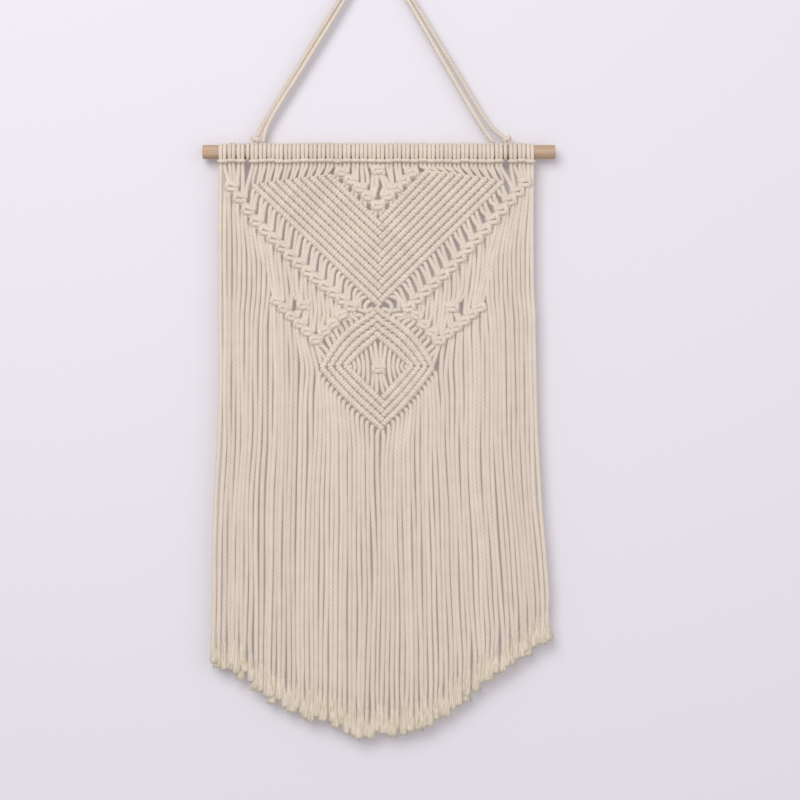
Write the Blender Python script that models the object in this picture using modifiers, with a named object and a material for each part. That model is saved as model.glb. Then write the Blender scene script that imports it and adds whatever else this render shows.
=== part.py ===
"""Macrame wall hanging on a wooden dowel, with the doubled cord that it hangs from.

The origin is the hang point, on the nail under the top of the hanging cord. X runs to the
viewer's right, Z up, and the wall is at +Y. Shapes are drawn in (side, drop) in millimetres:
side from the panel's centre line, drop down from the dowel's axis.
"""
import math
from collections import namedtuple

import bmesh
import bpy
from mathutils import Vector

MM = 0.001
GAP = 0.4                    # clear space between a piece and its neighbour

# Frame
DOWEL_DROP = 206.4           # dowel's axis below the hang point
PANEL_SIDE = 3.5             # panel's centre line, right of the hang point
PANEL_DEPTH = -5.0           # middle of the knotted panel, in front of the dowel's axis

# Dowel and cord
DOWEL_LENGTH = 353
DOWEL_DIAMETER = 14
DOWEL_SIDE = 1.4
CORD_DIAMETER = 3.8
NET_THICKNESS = 3.8

# Heading: lark's head knots on the dowel
HEAD_RADIUS = 9.6
HEAD_BOTTOM = 16.2
HEAD_ARC = (-80, 215)        # degrees, from below the dowel over its back and top to its front
HEAD_ARC_STEPS = 16
BORE_SIDES = 24
Bar = namedtuple("Bar", "depth drop")
BAR = (                      # the knots' front bar, and the cord ends behind it
    Bar(-10.0, 7.2), Bar(-10.6, 9.5), Bar(-10.6, 12.5), Bar(-9.6, 15.4),
    Bar(-7.6, HEAD_BOTTOM), Bar(-2.4, HEAD_BOTTOM), Bar(-1.6, 10.6),
)
Heading = namedtuple("Heading", "name start knots pitch")
HEADINGS = (
    Heading("heading_left", -159.5, 3, 9.07),
    Heading("heading_middle", -127.5, 30, 8.43),
    Heading("heading_right", 130.9, 3, 8.73),
)

# Chevron: rows of double half hitches in a V
ROWS = 10
ROW_PITCH = 9.15             # down the centre line
ROW_SLOPE = 0.92
CHEVRON_HALF_WIDTH = 127.5
CHEVRON_APEX = 155.3
Ridge = namedtuple("Ridge", "share half_thickness")
RIDGE = (Ridge(0.0, 3.0), Ridge(0.2, 4.3), Ridge(0.5, 4.6), Ridge(0.8, 4.3))    # across one row

# Square-knot braids and wings, with side counted outwards on both halves
BRAID_HALF_WIDTH = 5.0
BRAID_THICKNESS = 7.5
KNOT_PITCH = 14.6
WAIST = 0.8                  # width between two knots, as a share of the full width
Half = namedtuple("Half", "name sign edge braid_start braid_end tip valley root accent")
HALVES = (
    Half("left", -1, 159.0, (153.5, 26.5), (26.0, 158.6),
         (102.5, 149.0), (61.5, 188.0), (31.7, 160.7), (71.5, 154.6)),
    Half("right", 1, 158.5, (150.5, 27.2), (27.0, 160.5),
         (103.5, 157.0), (58.5, 188.0), (34.4, 160.8), (72.5, 156.6)),
)
ACCENT_SIZE = (12, 9, 8)     # wide, high, deep
KNOT_SEGMENTS = 10

# Diamond: outer corners and the corners of its opening
Corner = namedtuple("Corner", "name outer inner")
DIAMOND = (
    Corner("left", (-58.5, 213.2), (-29.0, 213.2)),
    Corner("top", (0.0, 155.9), (0.0, 188.0)),
    Corner("right", (58.3, 213.2), (31.5, 213.2)),
    Corner("bottom", (3.0, 279.8), (3.0, 243.6)),
)
DIAMOND_ROWS = 4
DIAMOND_KNOT = (0.9, 217.6)
DIAMOND_KNOT_SIZE = (10, 8, 7)
FLOAT_SIDES = (6, 11, 16, 21)
FLOAT_BOW = 1.5

# Centre net
SLIT_SIDE = 3.2
SLIT_TOP = 24.6
SLIT_BOTTOM = 40.6
SLIT_HALF_WIDTH = 2.7
CENTRE_STRAND_SIDES = (-19.0, -14.4, -9.8, 10.8, 15.4, 20.0)

# Loose strands between the knotted bands
STRAND_PITCH = 4.6
SLOT_WIDTH = 1.1
SLOT_MARGIN = 2.6            # knotted edge left above and below a slot
SHORTEST_SLOT = 3.0
CENTRE_CLEAR = 4.0           # the nets stop this far from the centre line, where the rows cross

# Fringe: 72 hanging ends
TEETH = 72
TOOTH_SHARE = 0.8            # cord width as a share of the spacing
FRINGE_BOTTOM = (-165.0, 181.0)
FRINGE_SPINE = 3.0           # joins the teeth under the knotted edge
Knee = namedtuple("Knee", "drop spread")
KNEES = (Knee(330, 0.0), Knee(430, 0.3))    # where a strand stands on its way out to its tip
Tip = namedtuple("Tip", "side drop")
TIPS = (                     # lower edge, a shallow V
    Tip(-166, 512), Tip(-132, 526), Tip(-108, 548), Tip(-78, 562), Tip(-45, 574), Tip(-16, 586),
    Tip(22, 583), Tip(56, 574), Tip(88, 548), Tip(112, 528), Tip(158, 501), Tip(182, 482),
)

# Hanging cord
HANGER_DEPTH_AT_NAIL = 2.05
HANGER_POINTS = 39           # along each of its two strands
NAIL_DROP = -(DOWEL_DROP + CORD_DIAMETER / 2)
Route = namedtuple("Route", "side drop depth")
OUTER_ROUTE = (
    Route(-120.4, -15.8, 0.0), Route(-116.0, -25.4, 0.0), Route(-77.6, -88.9, -0.3),
    Route(-39.0, -151.4, -0.9), Route(-19.6, -183.8, -1.8),
    Route(-PANEL_SIDE, NAIL_DROP, -HANGER_DEPTH_AT_NAIL),
    Route(14.4, -183.8, -1.8), Route(36.0, -151.4, -0.9), Route(75.7, -86.4, -0.3),
    Route(115.5, -23.4, 0.0), Route(125.6, -15.4, 0.0),
)
INNER_ROUTE = (
    Route(-114.7, -11.2, 2.0), Route(-111.0, -25.4, 0.6), Route(-72.5, -88.9, 0.3),
    Route(-34.1, -151.4, 0.9), Route(-16.8, -182.2, 1.8),
    Route(-PANEL_SIDE, NAIL_DROP, HANGER_DEPTH_AT_NAIL),
    Route(11.6, -182.2, 1.8), Route(31.0, -151.4, 0.9), Route(68.5, -86.4, 0.3),
    Route(106.0, -23.4, 0.6), Route(115.3, -11.1, 2.0),
)
HANGER_KNOT_SIZE = (10, 5.8, 7)
HANGER_KNOTS = (("hanger_knot_left", -123.0, -13.0), ("hanger_knot_right", 130.0, -13.4))
HANGER_WRAPS = (("hanger_wrap_left", -129.9), ("hanger_wrap_right", 128.2))
WRAP_THICKNESS = 3.0         # the cord is pressed flat on the dowel
WRAP_WIDTH = 3.8

COTTON_COLOUR = (0.76, 0.68, 0.58, 1)
WOOD_COLOUR = (0.60, 0.42, 0.27, 1)


def at(side, drop, depth=PANEL_DEPTH):
    """The world point, in metres, of a point given in millimetres."""
    return Vector((PANEL_SIDE + side, depth, -DOWEL_DROP - drop)) * MM


def finish(obj, colour, roughness):
    """Put an object in the hanging's collection, with a plain material of its own."""
    material = bpy.data.materials.new(obj.name)
    material.use_nodes = True
    shader = material.node_tree.nodes["Principled BSDF"]
    shader.inputs["Base Color"].default_value = colour
    shader.inputs["Roughness"].default_value = roughness
    shader.inputs["Metallic"].default_value = 0
    obj.data.materials.append(material)
    hanging.objects.link(obj)
    return obj


def cotton(obj):
    return finish(obj, COTTON_COLOUR, 0.95)


def extruded(name, outlines, thickness, location, rotation):
    """A flat piece: the first outline is its edge, the others are holes."""
    curve = bpy.data.curves.new(name, 'CURVE')
    curve.dimensions = '2D'
    curve.fill_mode = 'BOTH'
    curve.extrude = thickness / 2 * MM
    for outline in outlines:
        spline = curve.splines.new('POLY')
        spline.points.add(len(outline) - 1)
        for point, (across, up) in zip(spline.points, outline):
            point.co = (across * MM, up * MM, 0, 1)
        spline.use_cyclic_u = True
    obj = bpy.data.objects.new(name, curve)
    obj.location = location
    obj.rotation_euler = [math.radians(angle) for angle in rotation]
    return cotton(obj)


def net(name, outline, slots, thickness=NET_THICKNESS, sign=1):
    """A flat piece of the panel, drawn in (side, drop), with its gaps."""
    shapes = [[(sign * side, -drop) for side, drop in shape] for shape in [outline] + slots]
    return extruded(name, shapes, thickness, at(0, 0), (90, 0, 0))


def line_at(start, end, side):
    """The drop of a straight line at a given side."""
    share = (side - start[0]) / (end[0] - start[0])
    return start[1] + share * (end[1] - start[1])


def shifted(start, end, distance):
    """A line moved down by a distance square to itself; up if the distance is negative."""
    run = Vector(end) - Vector(start)
    square = Vector((-run.y, run.x)).normalized()
    if square.y < 0:
        square.negate()
    return Vector(start) + square * distance, Vector(end) + square * distance


def steep(start, end):
    """How far a line moves in drop when it is shifted by one millimetre."""
    run = Vector(end) - Vector(start)
    return run.length / abs(run.x)


def slot(side, top, bottom, bow=0.0):
    """One gap between two strands, bowed sideways in its middle."""
    half = SLOT_WIDTH / 2
    middle = (top + bottom) / 2
    return [(side - half, top), (side + half, top), (side + half + bow, middle),
            (side + half, bottom), (side - half, bottom), (side - half + bow, middle)]


def oval(centre, width, height, steps=12):
    turns = [2 * math.pi * step / steps for step in range(steps)]
    return [(centre[0] + width / 2 * math.cos(turn), centre[1] + height / 2 * math.sin(turn))
            for turn in turns]


def slots_between(top_at, bottom_at, outer, inner, keep_clear=None):
    """Gaps between strands from an outer to an inner side, above and below a knot if one is given."""
    slots = []
    for step in range(int((outer - inner) / STRAND_PITCH)):
        side = outer - (step + 0.5) * STRAND_PITCH
        runs = [(top_at(side) + SLOT_MARGIN, bottom_at(side) - SLOT_MARGIN)]
        if keep_clear and abs(side - keep_clear[0]) < ACCENT_SIZE[0] / 2 + SLOT_WIDTH:
            reach = ACCENT_SIZE[1] / 2 + SLOT_MARGIN
            runs = [(runs[0][0], keep_clear[1] - reach), (keep_clear[1] + reach, runs[0][1])]
        slots += [slot(side, top, bottom) for top, bottom in runs if bottom - top > SHORTEST_SLOT]
    return slots


def dowel():
    bpy.ops.mesh.primitive_cylinder_add(vertices=32, radius=DOWEL_DIAMETER / 2 * MM,
                                        depth=DOWEL_LENGTH * MM, rotation=(0, math.pi / 2, 0),
                                        location=at(DOWEL_SIDE, 0, 0))
    obj = bpy.context.object
    obj.name = "dowel"
    obj.users_collection[0].objects.unlink(obj)
    bevel = obj.modifiers.new("Sanded edge", 'BEVEL')
    bevel.width = 0.6 * MM
    bevel.segments = 1
    bevel.limit_method = 'ANGLE'
    bevel.angle_limit = math.radians(40)
    obj.data.shade_smooth()
    obj.data.set_sharp_from_angle(angle=math.radians(40))
    finish(obj, WOOD_COLOUR, 0.7)


def heading(row):
    """A group of lark's heads: a sleeve round the dowel, with the bar and the cord ends below it."""
    first, last = HEAD_ARC
    outline = []
    for step in range(HEAD_ARC_STEPS + 1):
        angle = math.radians(first + (last - first) * step / HEAD_ARC_STEPS)
        outline.append((HEAD_RADIUS * math.cos(angle), HEAD_RADIUS * math.sin(angle)))
    outline += [(point.depth, -point.drop) for point in BAR]
    bore = 2 * (DOWEL_DIAMETER / 2 + GAP) / math.cos(math.pi / BORE_SIDES)
    width = row.knots * row.pitch
    extruded(row.name, [outline, oval((0, 0), bore, bore, BORE_SIDES)], width,
             at(row.start + width / 2, 0, 0), (90, 0, 90))


def ridges(rows):
    """The section across a number of rows: (row, half thickness) down the front, then up the back."""
    front = [(row + ridge.share, ridge.half_thickness) for row in range(rows) for ridge in RIDGE]
    front.append((rows, RIDGE[0].half_thickness))
    return front + [(place, -half) for place, half in reversed(front)]


def chevron():
    """Ten ridged rows: one half is extruded up its slope, cut to shape and mirrored."""
    mesh = bmesh.new()
    verts = [mesh.verts.new(Vector((0, half, (ROWS - place) * ROW_PITCH - CHEVRON_APEX)) * MM)
             for place, half in ridges(ROWS)]
    face = mesh.faces.new(verts)
    length = 1.3 * CHEVRON_HALF_WIDTH
    result = bmesh.ops.extrude_face_region(mesh, geom=[face])
    moved = [item for item in result["geom"] if isinstance(item, bmesh.types.BMVert)]
    bmesh.ops.translate(mesh, verts=moved, vec=Vector((-length, 0, length * ROW_SLOPE)) * MM)
    bmesh.ops.delete(mesh, geom=[face], context='FACES_ONLY')
    cuts = ((Vector((0, 0, -(HEAD_BOTTOM + GAP) * MM)), Vector((0, 0, 1))),
            (Vector((-CHEVRON_HALF_WIDTH * MM, 0, 0)), Vector((-1, 0, 0))))
    for point, normal in cuts:
        geometry = mesh.verts[:] + mesh.edges[:] + mesh.faces[:]
        cut = bmesh.ops.bisect_plane(mesh, geom=geometry, plane_co=point, plane_no=normal,
                                     clear_outer=True)
        edges = [item for item in cut["geom_cut"] if isinstance(item, bmesh.types.BMEdge)]
        rim = [edge for edge in edges if len(edge.link_faces) == 1]
        bmesh.ops.holes_fill(mesh, edges=rim, sides=0)
    bmesh.ops.recalc_face_normals(mesh, faces=mesh.faces[:])
    data = bpy.data.meshes.new("chevron")
    mesh.to_mesh(data)
    mesh.free()
    obj = bpy.data.objects.new("chevron", data)
    obj.location = at(0, 0)
    mirror = obj.modifiers.new("Other half", 'MIRROR')
    mirror.merge_threshold = 0.0001
    cotton(obj)


def chevron_edge(side):
    return CHEVRON_APEX - abs(side) * ROW_SLOPE


def centre_net():
    """The triangle inside the V, with its open slit."""
    inner_apex = CHEVRON_APEX - ROWS * ROW_PITCH
    clear = GAP * math.hypot(1, ROW_SLOPE)
    top = HEAD_BOTTOM + GAP
    half_width = (inner_apex - clear - top) / ROW_SLOPE
    outline = [(-half_width, top), (half_width, top), (0, inner_apex - clear)]
    slit = oval((SLIT_SIDE, (SLIT_TOP + SLIT_BOTTOM) / 2), 2 * SLIT_HALF_WIDTH, SLIT_BOTTOM - SLIT_TOP)
    slots = [slot(side, top + SLOT_MARGIN, inner_apex - abs(side) * ROW_SLOPE - 3 * SLOT_MARGIN)
             for side in CENTRE_STRAND_SIDES]
    net("centre_net", outline, [slit] + slots)


def band(name, route, sign):
    """A band of square knots along a route: full width at each knot and narrower between."""
    route = [Vector(point) for point in route]
    above, below = [], []
    for start, end in zip(route, route[1:]):
        run = end - start
        square = Vector((-run.y, run.x)).normalized()
        if square.y < 0:
            square.negate()
        knots = round(run.length / KNOT_PITCH)
        first_clear = BRAID_HALF_WIDTH if start is not route[0] else 0
        last_clear = BRAID_HALF_WIDTH if end is not route[-1] else 0
        for step in range(4 * knots + 1):
            place = run.length * step / (4 * knots)
            if first_clear <= place <= run.length - last_clear:
                width = BRAID_HALF_WIDTH * (WAIST if step % 4 == 0 else 1)
                point = start + run * (place / run.length)
                above.append(point - square * width)
                below.append(point + square * width)
        if end is not route[-1]:
            reach = Vector((0, BRAID_HALF_WIDTH * 1.3))
            above.append(end - reach)
            below.append(end + reach)
    net(name, above + below[::-1], [], BRAID_THICKNESS, sign)


def flattened_ball(name, centre, size, depth):
    """One knot: wide, high and deep as given."""
    bpy.ops.mesh.primitive_uv_sphere_add(segments=KNOT_SEGMENTS, ring_count=6, radius=0.5 * MM,
                                         location=at(centre[0], centre[1], depth))
    obj = bpy.context.object
    obj.name = name
    obj.users_collection[0].objects.unlink(obj)
    obj.scale = (size[0], size[2], size[1])
    obj.data.shade_smooth()
    cotton(obj)


def half_panel(half):
    """Braid, wing, extra knot and the strands between them, on one side of the centre line."""
    clear = BRAID_HALF_WIDTH + GAP
    band("outer_braid_" + half.name, (half.braid_start, half.braid_end), half.sign)
    band("wing_" + half.name, (half.tip, half.valley, half.root), half.sign)
    flattened_ball("accent_knot_" + half.name, (half.sign * half.accent[0], half.accent[1]),
                   ACCENT_SIZE, PANEL_DEPTH)

    over_start, over_end = shifted(half.braid_start, half.braid_end, -clear)
    under_start, under_end = shifted(half.braid_start, half.braid_end, clear)
    link_net(half, over_start, over_end)
    web(half, under_start, under_end, clear)
    diamond_links(half, over_end, clear)


def link_net(half, over_start, over_end):
    """Strands from the heading and the chevron down to the outer braid."""
    top = HEAD_BOTTOM + GAP
    shoulder = CHEVRON_HALF_WIDTH + GAP
    below_rows = GAP * math.hypot(1, ROW_SLOPE)
    inner = CENTRE_CLEAR

    def top_at(side):
        return top if side > shoulder else chevron_edge(side) + below_rows

    def bottom_at(side):
        return min(line_at(over_start, over_end, side), over_end.y)

    outline = [(half.edge, top), (shoulder, top), (shoulder, top_at(shoulder)),
               (inner, top_at(inner)), (inner, over_end.y), over_end, over_start,
               (half.edge, over_start.y)]
    slots = slots_between(top_at, bottom_at, half.edge - 2, inner)
    net("link_net_" + half.name, outline, slots, sign=half.sign)


def web(half, under_start, under_end, clear):
    """Strands between the outer braid and the wing below it, round the extra knot."""
    rise_outer = clear * steep(half.tip, half.valley)
    rise_inner = clear * steep(half.valley, half.root)
    outer = half.tip[0] + 3.0

    def top_at(side):
        return line_at(under_start, under_end, side)

    def bottom_at(side):
        if side > half.valley[0]:
            return line_at(half.tip, half.valley, side) - rise_outer
        return line_at(half.valley, half.root, side) - rise_inner

    inner = half.root[0]
    while bottom_at(inner) - top_at(inner) < 1.5:
        inner += 0.5
    valley = half.valley[0]
    outline = [(outer, top_at(outer)), (inner, top_at(inner)), (inner, bottom_at(inner)),
               (valley, min(bottom_at(valley), bottom_at(valley + 0.01)) - 0.6),
               (outer, bottom_at(outer))]
    hole = oval(half.accent, ACCENT_SIZE[0] + 3 * GAP, ACCENT_SIZE[1] + 3 * GAP, KNOT_SEGMENTS)
    slots = slots_between(top_at, bottom_at, outer - 2, inner, keep_clear=half.accent)
    net("web_" + half.name, outline, [hole] + slots, sign=half.sign)


def diamond_edge(side, corner_name):
    """Drop of the diamond's outer edge, between its side corner and its top or bottom one."""
    corners = {corner.name: corner.outer for corner in DIAMOND}
    sideways = corners["left"] if side < corners[corner_name][0] else corners["right"]
    return line_at(sideways, corners[corner_name], side)


def diamond_links(half, over_end, clear):
    """Strands from the wing's inner arm, the braid and the chevron into the diamond."""
    rise = clear * steep(half.valley, half.root)
    above_diamond = GAP * 1.5
    outer, inner = abs(DIAMOND[0].outer[0]) - 2.5, CENTRE_CLEAR + 1
    braid_tip = (over_end.x - GAP, over_end.y + GAP)
    root_side = half.root[0] - 0.7 * clear
    root = (root_side, line_at(half.valley, half.root, root_side) + rise)

    def top_at(side):
        if side >= root_side:
            return line_at(half.valley, half.root, side) + rise
        if side > braid_tip[0]:
            return line_at(root, braid_tip, side)
        return braid_tip[1]

    def bottom_at(side):
        return diamond_edge(half.sign * side, "top") - above_diamond

    outline = [(outer, top_at(outer)), root, braid_tip, (inner, braid_tip[1]),
               (inner, bottom_at(inner)), (outer, bottom_at(outer))]
    slots = slots_between(top_at, bottom_at, outer - 1, inner + 4)
    net("diamond_links_" + half.name, outline, slots, sign=half.sign)


def diamond():
    """Four ridged rows round the opening, the same section at each of the four corners."""
    mesh = bmesh.new()
    rings = []
    for corner in DIAMOND:
        ring = []
        for place, half in ridges(DIAMOND_ROWS):
            point = Vector(corner.outer).lerp(Vector(corner.inner), place / DIAMOND_ROWS)
            ring.append(mesh.verts.new(at(point.x, point.y, PANEL_DEPTH + half)))
        rings.append(ring)
    for ring, following in zip(rings, rings[1:] + rings[:1]):
        for index in range(len(ring)):
            after = (index + 1) % len(ring)
            mesh.faces.new((ring[index], ring[after], following[after], following[index]))
    bmesh.ops.recalc_face_normals(mesh, faces=mesh.faces[:])
    data = bpy.data.meshes.new("diamond")
    mesh.to_mesh(data)
    mesh.free()
    cotton(bpy.data.objects.new("diamond", data))


def diamond_web():
    """Loose strands across the opening, bowed away from the one knot in the middle."""
    corners = [Vector(corner.inner) for corner in DIAMOND]
    middle = sum(corners, Vector((0, 0))) / len(corners)
    outline = [middle.lerp(corner, 0.975) for corner in corners]
    slots = [oval(DIAMOND_KNOT, DIAMOND_KNOT_SIZE[0] + 3 * GAP, DIAMOND_KNOT_SIZE[1] + 3 * GAP,
                  KNOT_SEGMENTS)]
    left, top, right, bottom = outline
    for side in [-offset for offset in FLOAT_SIDES] + list(FLOAT_SIDES):
        place = side + DIAMOND_KNOT[0]
        upper = line_at(left if place < top.x else right, top, place)
        lower = line_at(left if place < bottom.x else right, bottom, place)
        if lower - upper > 3 * SLOT_MARGIN:
            bow = math.copysign(FLOAT_BOW, side)
            slots.append(slot(place, upper + SLOT_MARGIN, lower - SLOT_MARGIN, bow))
    net("diamond_web", outline, slots)
    flattened_ball("diamond_knot", DIAMOND_KNOT, DIAMOND_KNOT_SIZE, PANEL_DEPTH)


def fringe_boundary():
    """The knotted lower edge that the fringe hangs from, from left to right."""
    points = []
    for half in HALVES:
        clear = BRAID_HALF_WIDTH + GAP
        start, end = shifted(half.braid_start, half.braid_end, clear)
        jump = half.tip[0] + 3.0 + GAP
        tip, valley = shifted(half.tip, half.valley, clear)
        outer_corner = abs(DIAMOND[0 if half.sign < 0 else 2].outer[0]) + 2 * GAP
        below_valley = max(half.valley[1] + clear * 1.5, valley.y)
        side_points = [(half.edge, start.y), start, (jump, line_at(start, end, jump)),
                       (jump, line_at(tip, valley, jump)), (half.valley[0], below_valley),
                       (outer_corner, below_valley), (outer_corner, DIAMOND[0].outer[1] + 2 * GAP)]
        side_points = [(half.sign * side, drop) for side, drop in side_points]
        points.append(side_points)
    bottom = DIAMOND[3].outer
    return points[0] + [(bottom[0], bottom[1] + 2 * GAP)] + points[1][::-1]


def drop_along(points, side):
    """The lowest crossing of a left-to-right line of points with a given side."""
    found = [line_at(start, end, side) for start, end in zip(points, points[1:])
             if start[0] < end[0] and start[0] <= side <= end[0]]
    return max(found)


def fringe():
    """A comb of 72 strands. They hang straight, then spread towards the lower edge."""
    boundary = fringe_boundary()
    left, right = boundary[0][0], boundary[-1][0]

    def hanging_line(share):
        """A line down the fringe, at a share of its width: its knees and its tip."""
        top_side = left + (right - left) * share
        tip_side = FRINGE_BOTTOM[0] + (FRINGE_BOTTOM[1] - FRINGE_BOTTOM[0]) * share
        knees = [(top_side + knee.spread * (tip_side - top_side), knee.drop) for knee in KNEES]
        return knees + [(tip_side, drop_along(TIPS, tip_side))]

    outline = list(boundary)
    half_gap = (1 - TOOTH_SHARE) / TEETH / 2
    for tooth in reversed(range(TEETH)):
        right_share = 1 if tooth == TEETH - 1 else (tooth + 1) / TEETH - half_gap
        left_share = 0 if tooth == 0 else tooth / TEETH + half_gap
        outline += hanging_line(right_share) + hanging_line(left_share)[::-1]
        if tooth > 0:
            sides = [hanging_line(share)[0][0] for share in (left_share, left_share - 2 * half_gap)]
            slot_top = max(drop_along(boundary, side) for side in sides) + FRINGE_SPINE
            outline += [(side, slot_top) for side in sides]
    net("fringe", outline, [])


def smooth_route(route, count):
    """Evenly spaced points on a Catmull-Rom curve through a route."""
    places = [at(*point) for point in route]
    ends = [2 * places[0] - places[1]] + places + [2 * places[-1] - places[-2]]
    fine = []
    for before, start, end, after in zip(ends, ends[1:], ends[2:], ends[3:]):
        for step in range(24):
            t = step / 24
            fine.append(0.5 * (2 * start + (end - before) * t
                               + (2 * before - 5 * start + 4 * end - after) * t ** 2
                               + (3 * start - before - 3 * end + after) * t ** 3))
    fine.append(places[-1])
    reached = [0.0]
    for start, end in zip(fine, fine[1:]):
        reached.append(reached[-1] + (end - start).length)
    points = []
    index = 0
    for step in range(count):
        goal = reached[-1] * step / (count - 1)
        while index < len(fine) - 2 and reached[index + 1] < goal:
            index += 1
        span = reached[index + 1] - reached[index]
        points.append(fine[index].lerp(fine[index + 1], (goal - reached[index]) / span))
    return points


def hanger_strand(name, route):
    curve = bpy.data.curves.new(name, 'CURVE')
    curve.dimensions = '3D'
    curve.bevel_depth = CORD_DIAMETER / 2 * MM
    curve.bevel_resolution = 2
    curve.use_fill_caps = True
    spline = curve.splines.new('POLY')
    points = smooth_route(route, HANGER_POINTS)
    spline.points.add(len(points) - 1)
    for point, place in zip(spline.points, points):
        point.co = (*place, 1)
    cotton(bpy.data.objects.new(name, curve))


def hanger_wrap(name, side):
    """The cord's turn round the dowel, pressed flat."""
    bore = DOWEL_DIAMETER / 2 + GAP
    bpy.ops.mesh.primitive_torus_add(major_segments=20, minor_segments=6,
                                     major_radius=(bore + WRAP_THICKNESS / 2) * MM,
                                     minor_radius=WRAP_THICKNESS / 2 * MM,
                                     rotation=(0, math.pi / 2, 0), location=at(side, 0, 0))
    obj = bpy.context.object
    obj.name = name
    obj.users_collection[0].objects.unlink(obj)
    obj.scale.z = WRAP_WIDTH / WRAP_THICKNESS
    obj.data.shade_smooth()
    cotton(obj)


def hanger():
    hanger_strand("hanger_strand_outer", OUTER_ROUTE)
    hanger_strand("hanger_strand_inner", INNER_ROUTE)
    for name, side, drop in HANGER_KNOTS:
        flattened_ball(name, (side, drop), HANGER_KNOT_SIZE, 0)
    for name, side in HANGER_WRAPS:
        hanger_wrap(name, side)


for old in list(bpy.data.objects):
    bpy.data.objects.remove(old)
hanging = bpy.data.collections.new("macrame wall hanging")
bpy.context.scene.collection.children.link(hanging)

dowel()
for heading_row in HEADINGS:
    heading(heading_row)
chevron()
centre_net()
for panel_half in HALVES:
    half_panel(panel_half)
diamond()
diamond_web()
fringe()
hanger()
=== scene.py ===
import math
import random

import bmesh
import bpy
import numpy as np
from mathutils import Matrix, Vector, noise


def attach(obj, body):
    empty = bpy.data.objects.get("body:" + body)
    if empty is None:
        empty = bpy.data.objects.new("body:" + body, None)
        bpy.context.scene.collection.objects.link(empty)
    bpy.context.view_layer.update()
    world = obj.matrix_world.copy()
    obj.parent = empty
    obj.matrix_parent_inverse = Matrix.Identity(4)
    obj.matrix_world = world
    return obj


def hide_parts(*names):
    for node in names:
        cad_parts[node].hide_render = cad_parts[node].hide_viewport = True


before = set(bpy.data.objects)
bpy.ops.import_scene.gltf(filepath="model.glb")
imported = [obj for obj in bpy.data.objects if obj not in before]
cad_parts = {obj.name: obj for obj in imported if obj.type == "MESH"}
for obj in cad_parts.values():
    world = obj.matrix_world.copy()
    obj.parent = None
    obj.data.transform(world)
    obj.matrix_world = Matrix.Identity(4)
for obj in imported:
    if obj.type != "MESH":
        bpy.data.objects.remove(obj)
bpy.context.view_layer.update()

# ---------------------------------------------------------------------------------------------
# The dowel. A plain round rod of pale beech, 14 mm thick and 353 mm long, sawn to length with
# its end edges eased by sanding. Everything else is tied onto it.

MM = 0.001
# the panel's top middle, on the rod's axis: so far to the right of the hang point, and below it
PANEL_SIDE = 3.5
PANEL_DROP = 206.4
DOWEL_LENGTH = 353.0
DOWEL_RADIUS = 7.0
DOWEL_SIDE = 1.4
DOWEL_EASED_EDGE = 0.7
DOWEL_EASED_STEPS = 3
DOWEL_FACETS = 40
DOWEL_SHARP = 40
BEECH_LIGHT = "#CDB094"
BEECH_DARK = "#BB9A7B"
BEECH_PORE = "#9A7859"


def place(spot):
    """A spot's side, drop and depth in mm from the panel's top middle, as a point in metres."""
    side, drop, depth = spot
    return Vector((PANEL_SIDE + side, depth, -PANEL_DROP - drop)) * MM


def linear(hex_colour):
    """An sRGB hex colour as the linear RGBA that a shader takes."""
    shares = [int(hex_colour[i : i + 2], 16) / 255 for i in (1, 3, 5)]
    return (*[s / 12.92 if s <= 0.04045 else ((s + 0.055) / 1.055) ** 2.4 for s in shares], 1.0)


def add_node(tree, kind, inputs=None, **settings):
    """Adds a node. Each input is given a value, or another node's output to link."""
    made = tree.nodes.new(kind)
    for name, value in settings.items():
        setattr(made, name, value)
    for name, value in (inputs or {}).items():
        if isinstance(value, bpy.types.NodeSocket):
            tree.links.new(value, made.inputs[name])
        else:
            made.inputs[name].default_value = value
    return made


def new_material(name):
    """A material with an empty node tree."""
    material = bpy.data.materials.new(name)
    material.use_nodes = True
    material.node_tree.nodes.clear()
    return material, material.node_tree


def ramp(tree, factor, *stops):
    """A colour ramp between stops of a place and a colour."""
    made = add_node(tree, "ShaderNodeValToRGB", {"Fac": factor})
    elements = made.color_ramp.elements
    elements[0].position, elements[0].color = stops[0][0], linear(stops[0][1])
    elements[1].position, elements[1].color = stops[-1][0], linear(stops[-1][1])
    for position, colour in stops[1:-1]:
        elements.new(position).color = linear(colour)
    return made.outputs["Color"]


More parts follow.
